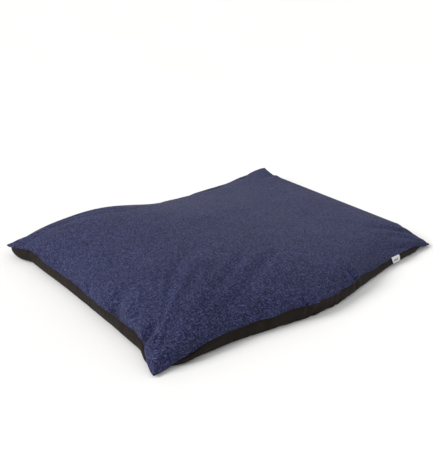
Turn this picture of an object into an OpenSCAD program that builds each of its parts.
// Pet cushion bed: a flat two-panel cover closed by a side zip, over a separate
// fibre-filled pad. Millimetres, +Z up. The long side runs along X, the zip is on
// the +X side, and the underside rests on z = 0 with the origin under the middle.

/* [Cover] */
// Length of the cover between its left and right corners
cover_length = 1000; // [700:10:1200]
// Width of the cover between its front and back corners
cover_width = 700; // [580:10:900]
// Height of the crown where the filling is fullest, towards the left
crown_height = 150; // [110:1:200]
// Height of the crown at the slack right-hand end
slack_height = 86; // [70:1:120]
// Height of the edge seam above the floor
seam_height = 38; // [30:1:48]
// Height of the seam at the two front corners, which sag
front_corner_height = 8; // [5:1:30]
// Height of the seam at the two back corners
back_corner_height = 35; // [20:1:45]
// How far the left side draws in between its corners
left_draw = 33; // [10:1:50]
// How far the zipped right side draws in
right_draw = 26; // [10:1:50]
// How far the back draws in
back_draw = 30; // [10:1:50]
// How far the front bellies out past its corners
front_swell = 52; // [0:1:60]
// How far the base wall bulges beyond the seam
wall_bulge = 10; // [0:1:14]
// How far the base wall bulges on the zipped side
zip_wall_bulge = 2; // [0:0.5:4]

/* [Cloth] */
// Thickness of the woven top panel
top_cloth = 1.2; // [0.8:0.1:2]
// Thickness of the coated base panel
base_cloth = 0.8; // [0.5:0.1:1.2]
// Thickness of the pad's inner case
case_cloth = 0.5; // [0.3:0.1:0.8]
// Depth of the cover's seam allowance, turned inside
cover_allowance = 12; // [8:1:13]
// Depth of the inner case's seam allowance
case_allowance = 8; // [5:1:12]
// Width of the overlock thread along an allowance's raw edge
overlock_width = 1.2; // [0.8:0.1:2]

/* [Zip] */
// Length of the zip, end to end
zip_length = 500; // [300:10:500]
// Opening between the two hems that the zip sits in
zip_gap = 11; // [10.5:0.1:13]
// Thickness of the zip's two tapes
tape_thickness = 0.6; // [0.4:0.1:0.8]
// Height of one row of teeth, from its back to the middle of the chain
row_height = 3.2; // [3:0.1:3.4]
// Thickness of the teeth through the zip
teeth_thickness = 2.4; // [2:0.1:3]
// Distance from one tooth to the next on the same row
tooth_pitch = 3; // [2.5:0.1:5]
// Length of the slider
slider_length = 14; // [10:1:20]
// Length of the pull tab from its pin
pull_length = 26; // [18:1:40]
// Width of the pull tab
pull_width = 6.4; // [6:0.2:8]

/* [Labels] */
// Width of the folded side label, along the seam
side_label_width = 34; // [20:1:50]
// Drop of the side label below the seam
side_label_drop = 19; // [12:1:24]
// Where the side label is sewn, as a share of the half length
side_label_place = 0.64; // [0.3:0.01:0.75]
// Width of the care label inside the cover
care_label_width = 30; // [20:1:40]
// Drop of the care label below the seam
care_label_drop = 24; // [15:1:26]

/* [Pad] */
// Room between the cover's edge seam and the pad's edge seam
pad_inset = 16; // [15:0.5:30]
// Room between the cover and the pad over the top
pad_room_top = 1; // [0.8:0.1:3]
// Room between the cover and the pad underneath
pad_room_base = 0.4; // [0.3:0.1:1]

/* [Hidden] */

// The surface is drawn on rows u (along X) and v (along Y), each from -1 to 1
middle_rows = 4;
middle_share = 0.6;
edge_rows = 6;
zip_rows = 3;
corner_rows = 7;
row_crowding = 2.7;

half_l = cover_length / 2;
half_w = cover_width / 2;

// The edge stays straight and level this far past each end of the zip
zip_run_out = 20;
zip_v = (zip_length / 2 + zip_run_out) / half_w;

// Fold at the hem beside the zip, and how thin the turned cloth is pressed
hem_depth = 3.2;
wall_depth = 2.5;
pressed_top = 0.6;
pressed_base = 0.4;
case_wall_depth = 1.5;
pressed_case = 0.3;
thread_gap = 0.1;

// ---- easing ----
function ease(t) = let (s = min(1, max(0, t))) s * s * (3 - 2 * s);
function mix(a, b, t) = a + (b - a) * t;
function side(t) = t < 0 ? -1 : 1;

// ---- rows, crowded towards the seam ----
function crowded(i, n) = 1 - pow(1 - i / n, row_crowding);
u_half = concat(
    [for (i = [0:middle_rows - 1]) middle_share * i / middle_rows],
    [for (i = [0:edge_rows]) middle_share + (1 - middle_share) * crowded(i, edge_rows)]);
v_half = concat(
    [for (i = [0:zip_rows - 1]) zip_v * i / zip_rows],
    [for (i = [0:corner_rows]) min(1, zip_v + (1 - zip_v) * crowded(i, corner_rows))]);
function both_ways(half) = concat([for (i = [len(half) - 1:-1:1]) -half[i]], half);
us = both_ways(u_half);
vs = both_ways(v_half);
nu = len(us);
nv = len(vs);
last_u = u_half[len(u_half) - 2];
zip_closed_v = v_half[zip_rows + 1];

// ---- outline of the cover, seen from above ----
function left_pull(v) = left_draw * (1 - ease((abs(v) - 0.7) / 0.3));
function right_pull(v) = right_draw * (1 - ease((abs(v) - zip_v) / (1 - zip_v)));
function back_pull(u) = back_draw * (1 - ease((abs(u) - 0.35) / 0.65));
swell_spread = 0.42;
function front_push(u) = front_swell * exp(-pow((u + 0.02) / swell_spread, 2));
function plan_x(u, v, half) = u * half - pow(u, 3) * (u > 0 ? right_pull(v) : left_pull(v));
function plan_y(u, v, half) = v * half - pow(v, 3) * (v > 0 ? back_pull(u) : -front_push(u));

// ---- height of the seam, which dips at the front corners ----
corner_start = 0.66;
// Steepest average slope at which the seam runs down to a corner
dip_slope = 0.4;
function cornering(u, v, start) = ease((abs(u * v) - start) / (1 - start));
function seam_dip(start, corner) = min(seam_height - corner, dip_slope * (1 - start) * half_w);
function seam_z(u, v) =
    let (start = u > 0 ? max(corner_start, zip_v) : corner_start,
        corner = v < 0 ? front_corner_height : back_corner_height)
    seam_height - seam_dip(start, corner) * cornering(u, v, start);

// ---- the hems part to make room for the zip ----
function zip_share(u, v) = ease((u - 0.5) * 2)
    * (1 - ease((abs(v) - zip_v) / (zip_closed_v - zip_v)));
function gape(u, v) = zip_gap / 2 * zip_share(u, v);

// ---- crown of the top panel: full on the left and front, slack to the right and back ----
function rise(t, spread, edge) = pow(max(0, 1 - pow(abs(t), spread)), edge);
function slack_rise(t, spread, edge) = mix(rise(t, 12, 0.5), rise(t, spread, edge), 0.76);
function rise_x(u) = u < 0 ? rise(u, 3.4, 0.6) : slack_rise(u, 2.2, 0.85);
function leftness(u) = ease((-0.05 - u) / 0.6);
function straight_slope(v) = mix(rise(v, 12, 0.5), rise(v, 1.6, 1), 0.93);
function rise_y(u, v) = v < 0 ? rise(v, 3.4, 0.55)
    : mix(straight_slope(v), slack_rise(v, 3.3, 0.65), leftness(u));
function meet(a, b) = a * b == 0 ? 0 : mix(a * b, 1 / sqrt(1 / (a * a) + 1 / (b * b) - 1), 0.3);
function dome(u, v) = meet(rise_x(u), rise_y(u, v));
function crown(u) = mix(crown_height, slack_height, ease((u + 0.75) / 1.45));

// ---- base wall: steep beside the seam, then flat on the floor ----
wall_steepness = 3.2;
function wall(u, v) = pow(ease(wall_steepness * rise(u, 8, 0.5) * rise(v, 8, 0.5)), 0.8);
function bulge(r, u, v) = 4 * r * (1 - r) * (1 - cornering(u, v, 0.75));

// A layer is [inset from the seam, depth under the surface, lift off the seam, zip share]
function top_point(u, v, layer) =
    let (s = seam_z(u, v) + gape(u, v) * layer[3] + layer[2])
    [plan_x(u, v, half_l - layer[0]), plan_y(u, v, half_w - layer[0]),
        s + (crown(u) - layer[1] - s) * dome(u, v)];
function base_point(u, v, layer) =
    let (s = seam_z(u, v) - gape(u, v) * layer[3] - layer[2],
        z = s - (s - layer[1]) * wall(u, v),
        b = bulge(z / s, u, v))
    [plan_x(u, v, half_l - layer[0])
            + side(u) * b * pow(abs(u), 12) * (u > 0 ? zip_wall_bulge : wall_bulge),
        plan_y(u, v, half_w - layer[0]) + side(v) * b * pow(abs(v), 12) * wall_bulge, z];

// ---- layers ----
top_outer = [0, 0, 0, 1];
top_inner = [wall_depth, top_cloth, pressed_top, 1];
base_outer = [0, 0, 0, 1];
base_inner = [wall_depth, base_cloth, pressed_base, 1];
case_top_outer = [pad_inset, top_cloth + pad_room_top, 0, 0];
case_top_inner = [pad_inset + case_wall_depth, case_top_outer[1] + case_cloth, pressed_case, 0];
case_base_outer = [pad_inset, base_cloth + pad_room_base, 0, 0];
case_base_inner = [pad_inset + case_wall_depth, case_base_outer[1] + case_cloth, pressed_case, 0];
fill_room = 1;
fill_inset = pad_inset + case_allowance + overlock_width + 1;
fill_top = [fill_inset, case_top_inner[1] + fill_room, 1, 0];
fill_base = [fill_inset, case_base_inner[1] + fill_room, 1, 0];

// ---- mesh helpers ----
function at(i, j) = i * nv + j;
// Grid places round the rim, against the clock seen from above, from the back right corner
rim = concat(
    [for (i = [nu - 1:-1:1]) [i, nv - 1]],
    [for (j = [nv - 1:-1:1]) [0, j]],
    [for (i = [0:nu - 2]) [i, 0]],
    [for (j = [0:nv - 2]) [nu - 1, j]]);
rim_count = len(rim);
function rim_u(k) = us[rim[k % rim_count][0]];
function rim_v(k) = vs[rim[k % rim_count][1]];
function turned(face, flip) = flip ? [face[2], face[1], face[0]] : face;
function sheet_faces(first, flip) = [for (i = [0:nu - 2], j = [0:nv - 2], half = [0, 1])
    let (a = first + at(i, j), b = first + at(i + 1, j),
        c = first + at(i + 1, j + 1), d = first + at(i, j + 1))
    turned(half == 0 ? [a, d, c] : [a, c, b], flip)];
function band_faces(from, to, flip) = [for (k = [0:len(from) - 1], half = [0, 1])
    let (n = (k + 1) % len(from))
    turned(half == 0 ? [from[k], from[n], to[n]] : [from[k], to[n], to[k]], flip)];
function rim_places(first) = [for (p = rim) first + at(p[0], p[1])];
function run(first, n) = [for (k = [0:n - 1]) first + k];

// Point on the turned-in allowance, at a depth in from the seam and a height above it
function allowance_point(k, depth, height) =
    let (u = rim_u(k), v = rim_v(k))
    [plan_x(u, v, half_l - depth), plan_y(u, v, half_w - depth), seam_z(u, v) + height];

// A closed panel: outer sheet, turned-in allowance, inner sheet
module panel(outer, inner, start, allowance, pressed, up) {
    cells = nu * nv;
    sheets = [for (layer = [outer, inner]) [for (u = us, v = vs)
        up ? top_point(u, v, layer) : base_point(u, v, layer)]];
    way = up ? 1 : -1;
    edges = [for (h = [0, pressed]) [for (k = [0:rim_count - 1])
        let (share = zip_share(rim_u(k), rim_v(k)) * outer[3])
        allowance_point(k, start + mix(allowance, hem_depth, share),
            way * (h + zip_gap / 2 * share))]];
    loops = [rim_places(0), run(2 * cells, rim_count),
        run(2 * cells + rim_count, rim_count), rim_places(cells)];
    polyhedron(
        points = concat(sheets[0], sheets[1], edges[0], edges[1]),
        faces = concat(sheet_faces(0, !up), sheet_faces(cells, up),
            band_faces(loops[0], loops[1], !up), band_faces(loops[1], loops[2], !up),
            band_faces(loops[2], loops[3], !up)),
        convexity = 4);
}

// Everything is drawn about the cover's own middle, then moved so that the whole
// outline is centred on the origin
base_ys = [for (u = us, v = vs) base_point(u, v, base_outer)[1]];
shift_y = -(min(base_ys) + max(base_ys)) / 2;
module placed() {
    translate([0, shift_y, 0])
        children();
}

// ---- cover ----
module cover_top() {
    color([0.25, 0.27, 0.38])
        placed()
            panel(top_outer, top_inner, 0, cover_allowance, pressed_top, true);
}

module cover_base() {
    color([0.13, 0.11, 0.11])
        placed()
            panel(base_outer, base_inner, 0, cover_allowance, pressed_base, false);
}

// A run of thread bound along raw edges: stations along the rim, joined by bands
module overlock(stations, depth, above, below, closed) {
    n = len(stations);
    section = [[depth, -below], [depth, above],
        [depth + overlock_width, above], [depth + overlock_width, -below]];
    lanes = [for (s = section) [for (k = stations) allowance_point(k, s[0], s[1])]];
    points = [for (lane = lanes) each lane];
    open_bands = [for (l = [0:3], k = [0:n - 2], half = [0, 1])
        let (a = l * n + k, b = ((l + 1) % 4) * n + k)
        half == 0 ? [a, a + 1, b + 1] : [a, b + 1, b]];
    caps = [[0, n, 2 * n], [0, 2 * n, 3 * n],
        [n - 1, 3 * n - 1, 2 * n - 1], [n - 1, 4 * n - 1, 3 * n - 1]];
    ring_bands = [for (l = [0:3]) each band_faces(run(l * n, n), run(((l + 1) % 4) * n, n), false)];
    polyhedron(points = points, faces = closed ? ring_bands : concat(open_bands, caps),
        convexity = 6);
}

// The cover's overlock leaves out the stretch where the zip is
module cover_overlock() {
    side_start = rim_count - (nv - 1);
    first = side_start + 1 + corner_rows + 2 * zip_rows;
    count = rim_count - 2 * zip_rows - 1;
    color([0.16, 0.17, 0.24])
        placed()
            overlock(run(first, count), cover_allowance + thread_gap,
                pressed_top, pressed_base, false);
}

// ---- zip: seen along Y, n is outwards and h is up, from the middle of the chain ----
chain_inset = 2;
zip_x = half_l - right_draw - chain_inset;
zip_z = seam_height;
tape_edge = 0.9;
tape_bend = zip_gap / 2 - 0.5;
tape_reach = [10, 4.5];
tape_tail = 8;
stop_length = 4;
end_margin = 4;
play = 0.3;
zip_end = zip_length / 2;
slider_rest = zip_end - end_margin - stop_length - play - slider_length / 2;
slider_open = -zip_end + end_margin + stop_length + play + slider_length / 2;
slider_travel = slider_rest - slider_open;
post_length = 2.4;
teeth_start = -zip_end + end_margin + stop_length + play;
teeth_end = slider_rest + slider_length / 2 - post_length - play;

// Extrudes an outline drawn in (n, h) along the zip, from y0 to y1
module along_zip(y0, y1) {
    translate([zip_x, y1, zip_z])
        rotate([90, 0, 0])
            linear_extrude(y1 - y0)
                children();
}

// One tape: upright behind its teeth, then leaning in under its panel
module tape(up) {
    face = -teeth_thickness / 2;
    lean = tape_reach * tape_thickness / norm(tape_reach);
    color([0.12, 0.12, 0.15])
        placed()
            along_zip(-zip_end - tape_tail, zip_end + tape_tail)
                scale([1, up ? 1 : -1])
                    polygon([
                        [face, tape_edge],
                        [face, tape_bend],
                        [face - tape_reach[0], tape_bend + tape_reach[1]],
                        [face - tape_reach[0] - lean[1], tape_bend + tape_reach[1] - lean[0]],
                        [face - tape_thickness, tape_bend - tape_thickness / 2],
                        [face - tape_thickness, tape_edge]]);
}

module zip_tape_upper() {
    tape(true);
}

module zip_tape_lower() {
    tape(false);
}

// One row of teeth, drawn flat in (y, h) and given the chain's thickness. The two
// rows mesh with a small gap between neighbouring teeth
module teeth(up) {
    back = 1.2;
    mesh_gap = 0.1;
    tooth = tooth_pitch / 2 - mesh_gap;
    reach = 0.5;
    count = floor((teeth_end - teeth_start - tooth_pitch) / tooth_pitch);
    first = teeth_start + (up ? 0 : tooth_pitch / 2);
    outline = concat(
        [[teeth_start, row_height]],
        [for (i = [0:count], corner = [0:3])
            [first + i * tooth_pitch + (corner < 2 ? 0 : tooth),
                corner == 0 || corner == 3 ? row_height - back : -reach]],
        [[first + count * tooth_pitch + tooth, row_height]]);
    color([0.1, 0.1, 0.12])
        placed()
            translate([zip_x - teeth_thickness / 2, 0, zip_z])
                rotate([90, 0, 90])
                    linear_extrude(teeth_thickness)
                        scale([1, up ? 1 : -1])
                            polygon(up ? outline
                                : concat([[teeth_start, row_height], [teeth_start, row_height - back]],
                                    [for (i = [1:len(outline) - 1]) outline[i]]));
}

module zip_teeth_upper() {
    teeth(true);
}

module zip_teeth_lower() {
    teeth(false);
}

// Two small clamped stops past the closed end, one on each tape
module zip_top_stops() {
    y0 = zip_end - end_margin - stop_length;
    color([0.55, 0.55, 0.57])
        placed()
            for (way = [1, -1])
                along_zip(y0, y0 + stop_length)
                    scale([1, way])
                        translate([-teeth_thickness / 2, tape_edge + 0.1])
                            square([teeth_thickness, row_height - tape_edge - 0.1]);
}

// One box stop across both tapes at the open end
module zip_bottom_stop() {
    color([0.55, 0.55, 0.57])
        placed()
            along_zip(-zip_end + end_margin, -zip_end + end_margin + stop_length)
                translate([-teeth_thickness / 2, -row_height])
                    square([teeth_thickness, 2 * row_height]);
}

// ---- slider: two plates joined by a nose post, side flanges, and lugs for the pull ----
plate = 1.2;
flange = 0.8;
slot = tape_thickness + 2 * play;
inner_face = -teeth_thickness / 2 - tape_thickness - play;
outer_face = teeth_thickness / 2 + play;
slider_half = row_height + play + flange;
pin_n = outer_face + plate + 1.7;
pin_r = 0.7;
pin_play = 0.08;
lug = 0.9;
eye_half = 1.5;

// A slider plate seen from outside: wide at the nose, narrower at the tail
module plate_outline() {
    hull()
        for (end = [[slider_length / 2 - 2, slider_half - 2], [2 - slider_length / 2, slider_half - 2.4]],
            way = [1, -1])
            translate([end[0], way * end[1]])
                circle(r = 2, $fn = 32);
}

// Stands an outline drawn in (y, h) off the chain, from n0 to n1
module off_chain(n0, n1) {
    translate([n0, 0, 0])
        rotate([90, 0, 90])
            linear_extrude(n1 - n0)
                children();
}

module zip_slider() {
    color([0.2, 0.2, 0.22])
        placed()
            translate([zip_x, slider_rest, zip_z])
                union() {
                    off_chain(inner_face - plate, inner_face)
                        plate_outline();
                    off_chain(outer_face, outer_face + plate)
                        plate_outline();
                    off_chain(inner_face - 0.1, outer_face + 0.1)
                        translate([slider_length / 2 - post_length, -tape_edge + play])
                            square([post_length - 0.4, 2 * (tape_edge - play)]);
                    for (way = [1, -1])
                        off_chain(inner_face + slot, outer_face + 0.1)
                            translate([2 - slider_length / 2,
                                way > 0 ? slider_half - flange : -slider_half])
                                square([slider_length - 4, flange]);
                    for (way = [1, -1])
                        off_chain(outer_face + plate - 0.1, pin_n + 1.3)
                            translate([-1.4, way > 0 ? eye_half + play : -eye_half - play - lug])
                                square([2.8, lug]);
                    translate([pin_n, 0, -eye_half - play - lug / 2])
                        cylinder(r = pin_r, h = 2 * eye_half + 2 * play + lug, $fn = 48);
                }
}

// Flat pull tab on a barrel that turns on the slider's pin
module zip_pull() {
    tab = 1.2;
    barrel_r = 1.5;
    color([0.2, 0.2, 0.22])
        placed()
            translate([zip_x + pin_n, slider_rest, zip_z])
                difference() {
                    union() {
                        translate([0, 0, -eye_half])
                            cylinder(r = barrel_r, h = 2 * eye_half, $fn = 48);
                        translate([-tab / 2, -pull_length * 0.3, -eye_half])
                            cube([tab, pull_length * 0.3, 2 * eye_half]);
                        off_chain(-tab / 2, tab / 2)
                            hull()
                                for (end = [[0.3, eye_half - 0.6], [0.55, pull_width / 2 - 1],
                                        [0.95, pull_width / 2 - 1]],
                                    way = [1, -1])
                                    translate([-pull_length * end[0], way * end[1]])
                                        circle(r = 1, $fn = 24);
                    }
                    translate([0, 0, -eye_half - 1])
                        cylinder(r = pin_r + pin_play, h = 2 * eye_half + 2, $fn = 48);
                    off_chain(-tab, tab)
                        translate([-pull_length * 0.82, 0])
                            circle(r = 1.3, $fn = 32);
                }
}

// ---- stitching beside the zip: each stitch runs through its panel to the tape ----
stitch_step = 8;
stitch_length = 5;
stitch_width = 0.8;
stitch_inset = 4;
stitch_places = [for (y = [-zip_end + 6:stitch_step:zip_end - 6]) y];

module zip_stitching_upper() {
    low = zip_z + tape_bend - tape_thickness / 2
        + (stitch_inset - chain_inset - teeth_thickness / 2) * tape_reach[1] / tape_reach[0];
    color([0.2, 0.2, 0.3])
        placed()
            for (y = stitch_places)
                let (p = top_point(1 - stitch_inset / half_l, y / half_w, top_outer))
                translate([p[0] - stitch_width / 2, y - stitch_length / 2, low])
                    cube([stitch_width, stitch_length, p[2] + 0.2 - low]);
}

module zip_stitching_lower() {
    drop = 2;
    color([0.08, 0.08, 0.09])
        placed()
            for (y = stitch_places)
                let (rim_point = base_point(1, y / half_w, base_outer),
                    next_point = base_point(last_u, y / half_w, base_outer),
                    p = rim_point + (next_point - rim_point) * drop / (rim_point[2] - next_point[2]),
                    inner = zip_x - teeth_thickness / 2 - tape_thickness / 2
                        - (drop + 0.5) * tape_reach[0] / tape_reach[1])
                translate([inner, y - stitch_length / 2, p[2] - stitch_width / 2])
                    cube([p[0] + 0.3 - inner, stitch_length, stitch_width]);
}

// Dense tacks that close the hems together past each end of the zip
module zip_bar_tacks() {
    tack = [chain_inset + teeth_thickness / 2 + tape_thickness + 0.2, 2.4];
    color([0.1, 0.1, 0.12])
        placed()
            for (way = [1, -1])
                translate([half_l - right_draw - tack[0] + 0.3,
                        way * (zip_end + tape_tail / 2) - tack[1] / 2, zip_z - zip_gap / 2 - 1])
                    cube([tack[0], tack[1], zip_gap + 2]);
}

// ---- labels ----
function front_edge(u) = [plan_x(u, -1, half_l), plan_y(u, -1, half_w)];
function edge_angle(u) = let (a = front_edge(u - 0.03), b = front_edge(u + 0.03))
    atan2(b[1] - a[1], b[0] - a[0]);

// Stands an outline drawn in (outwards, up) at a place on the front seam
module on_front_seam(u, width) {
    edge = front_edge(u);
    translate([edge[0], edge[1], seam_z(u, -1)])
        rotate([0, 0, edge_angle(u)])
            translate([-width / 2, 0, 0])
                rotate([90, 0, 90])
                    linear_extrude(width)
                        scale([-1, 1])
                            children();
}

// Folded woven label: caught in the seam, then lying down over the base wall
module side_label() {
    thick = 0.9;
    clear = 1.4;
    tucked = 6;
    out = [for (v = [1, v_half[zip_rows + corner_rows - 1], v_half[zip_rows + corner_rows - 2]])
        let (p = base_point(side_label_place, -v, base_outer))
        [-(p[1] - front_edge(side_label_place)[1]), p[2] - seam_z(side_label_place, -1)]];
    drop = side_label_drop;
    share = (drop + out[1][1]) / (out[1][1] - out[2][1]);
    tip = mix(out[1], out[2], share);
    color([0.85, 0.85, 0.86])
        placed()
            on_front_seam(side_label_place, side_label_width)
                polygon([[-tucked, thick / 2], [clear / 2, thick / 2],
                    [out[1][0] + clear + thick, out[1][1] + thick],
                    [tip[0] + clear + thick, tip[1]], [tip[0] + clear, tip[1]],
                    [out[1][0] + clear, out[1][1]], [clear / 2, -thick / 2],
                    [-tucked, -thick / 2]]);
}

// Care label: hangs inside the cover from the front allowance
module care_label() {
    thick = 0.3;
    place = 0.7;
    depth = cover_allowance - 4;
    color([0.93, 0.93, 0.92])
        placed()
            on_front_seam(place, care_label_width)
                translate([-depth, -pressed_base])
                    polygon([[0, 0], [0, -care_label_drop], [-thick, -care_label_drop],
                        [-thick, -thick], [-3, -thick], [-3, 0]]);
}

// ---- pad ----
module inner_case_top() {
    color([0.9, 0.9, 0.88])
        placed()
            panel(case_top_outer, case_top_inner, pad_inset, case_allowance, pressed_case, true);
}

module inner_case_base() {
    color([0.9, 0.9, 0.88])
        placed()
            panel(case_base_outer, case_base_inner, pad_inset, case_allowance, pressed_case, false);
}

module inner_case_overlock() {
    color([0.8, 0.8, 0.78])
        placed()
            overlock(run(0, rim_count), pad_inset + case_allowance + thread_gap,
                pressed_case, pressed_case, true);
}

module fibre_fill() {
    cells = nu * nv;
    color([0.96, 0.96, 0.96])
        placed()
            polyhedron(
                points = concat([for (u = us, v = vs) top_point(u, v, fill_top)],
                    [for (u = us, v = vs) base_point(u, v, fill_base)]),
                faces = concat(sheet_faces(0, false), sheet_faces(cells, true),
                    band_faces(rim_places(0), rim_places(cells), false)),
                convexity = 4);
}

cover_top();
cover_base();
cover_overlock();
zip_tape_upper();
zip_tape_lower();
zip_teeth_upper();
zip_teeth_lower();
zip_top_stops();
zip_bottom_stop();
zip_slider();
zip_pull();
zip_stitching_upper();
zip_stitching_lower();
zip_bar_tacks();
side_label();
care_label();
inner_case_top();
inner_case_base();
inner_case_overlock();
fibre_fill();
